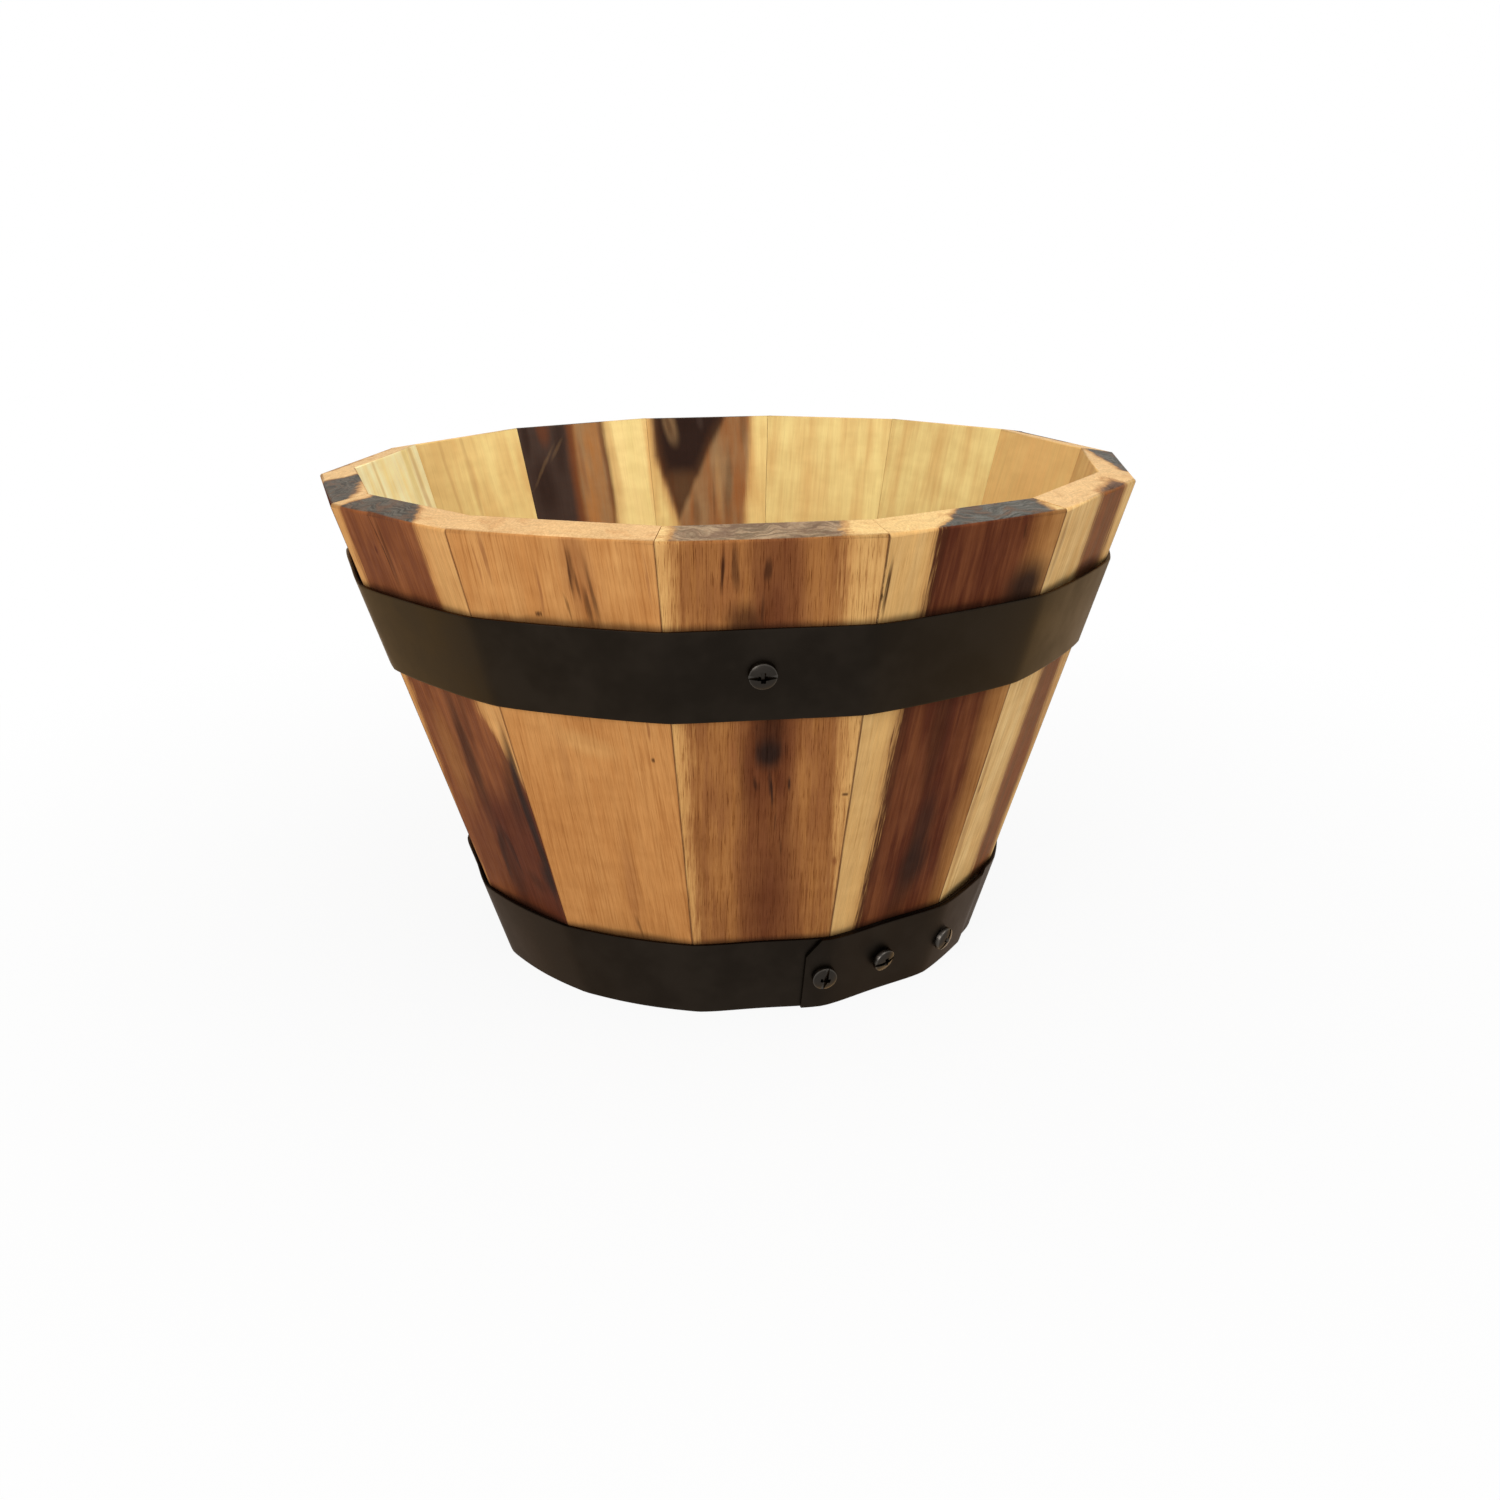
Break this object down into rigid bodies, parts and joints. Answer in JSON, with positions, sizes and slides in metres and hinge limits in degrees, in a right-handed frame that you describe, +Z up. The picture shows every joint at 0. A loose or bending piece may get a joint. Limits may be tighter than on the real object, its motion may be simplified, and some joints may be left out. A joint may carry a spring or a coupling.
{
  "type": "wooden barrel planter",
  "caption": "Tapered round planter of flat wooden staves round a boarded floor with drain holes, held by an upper and a lower black steel hoop with lapped ends and pan-head screws.",
  "frame": {"origin": "on the ground, at the middle of the foot", "axes": "+Z up the planter's axis; -Y towards the front, where the lap of the lower hoop and the single screw of the upper hoop are"},
  "size_m": [0.2782, 0.2764, 0.1678],
  "materials": {
    "wood_tan": "oiled hardwood, tan heartwood with brown streaks",
    "wood_dark": "oiled hardwood, dark red-brown heartwood with sapwood edges",
    "wood_pale": "oiled hardwood, pale sapwood",
    "wood_floor": "plain planed board",
    "dowel_wood": "turned dowel",
    "hoop_steel": "satin black paint with fine scratches",
    "screw_steel": "black oxide, worn bright on the recess edges"
  },
  "bodies": {
    "root": {"stave_01": "wood_dark", "stave_02": "wood_dark", "stave_03": "wood_tan", "stave_04": "wood_tan", "stave_05": "wood_dark", "stave_06": "wood_pale", "stave_07": "wood_tan", "stave_08": "wood_pale", "stave_09": "wood_pale", "stave_10": "wood_pale", "stave_11": "wood_tan", "stave_12": "wood_dark", "stave_13": "wood_pale", "stave_14": "wood_pale", "floor_board_left": "wood_floor", "floor_board_middle": "wood_floor", "floor_board_right": "wood_floor", "floor_dowels": "dowel_wood", "lower_hoop": "hoop_steel", "upper_hoop": "hoop_steel", "lower_hoop_screws": "screw_steel", "upper_hoop_screws": "screw_steel"}
  },
  "joints": []
}
